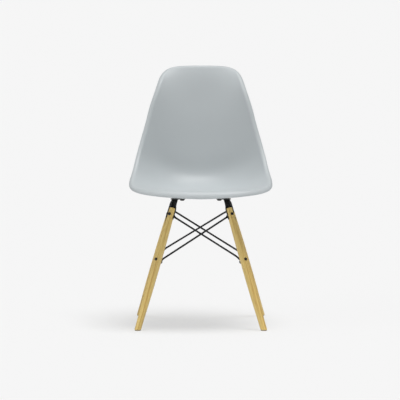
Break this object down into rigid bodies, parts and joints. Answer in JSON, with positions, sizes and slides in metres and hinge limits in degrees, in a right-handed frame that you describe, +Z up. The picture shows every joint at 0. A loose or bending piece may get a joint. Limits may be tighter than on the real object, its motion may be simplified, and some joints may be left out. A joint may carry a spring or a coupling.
{
  "type": "plastic shell side chair",
  "caption": "Armless side chair with a moulded plastic bucket shell on splayed turned wooden legs, braced by crossed steel rods.",
  "frame": {"origin": "on the floor under the middle of the chair's overall width and depth", "axes": "+Z up, the sitter faces -Y, +X to the right of someone who looks at the chair from the front"},
  "size_m": [0.4648, 0.5475, 0.8299],
  "materials": {
    "shell_plastic": "fine satin texture, cool light grey",
    "leg_wood": "clear satin lacquer over golden straight-grained wood",
    "bracket_steel": "black powder coat",
    "rod_steel": "black powder coat",
    "bolt_steel": "black oxide",
    "insert_steel": "plain zinc plate",
    "glide_plastic": "black hard plastic"
  },
  "bodies": {
    "root": {"seat_shell": "shell_plastic", "leg_front_left": "leg_wood", "leg_front_right": "leg_wood", "leg_rear_right": "leg_wood", "leg_rear_left": "leg_wood", "leg_bracket_front_left": "bracket_steel", "leg_bracket_front_right": "bracket_steel", "leg_bracket_rear_right": "bracket_steel", "leg_bracket_rear_left": "bracket_steel", "foot_glide_front_left": "glide_plastic", "foot_glide_front_right": "glide_plastic", "foot_glide_rear_right": "glide_plastic", "foot_glide_rear_left": "glide_plastic", "brace_rod_front_outer": "rod_steel", "brace_rod_front_inner": "rod_steel", "brace_rod_right_outer": "rod_steel", "brace_rod_right_inner": "rod_steel", "brace_rod_rear_outer": "rod_steel", "brace_rod_rear_inner": "rod_steel", "brace_rod_left_outer": "rod_steel", "brace_rod_left_inner": "rod_steel", "upper_leg_bolts": "bolt_steel", "lower_leg_bolts": "bolt_steel", "leg_bolt_nuts": "bolt_steel", "seat_screws": "bolt_steel", "shell_inserts": "insert_steel"}
  },
  "joints": []
}
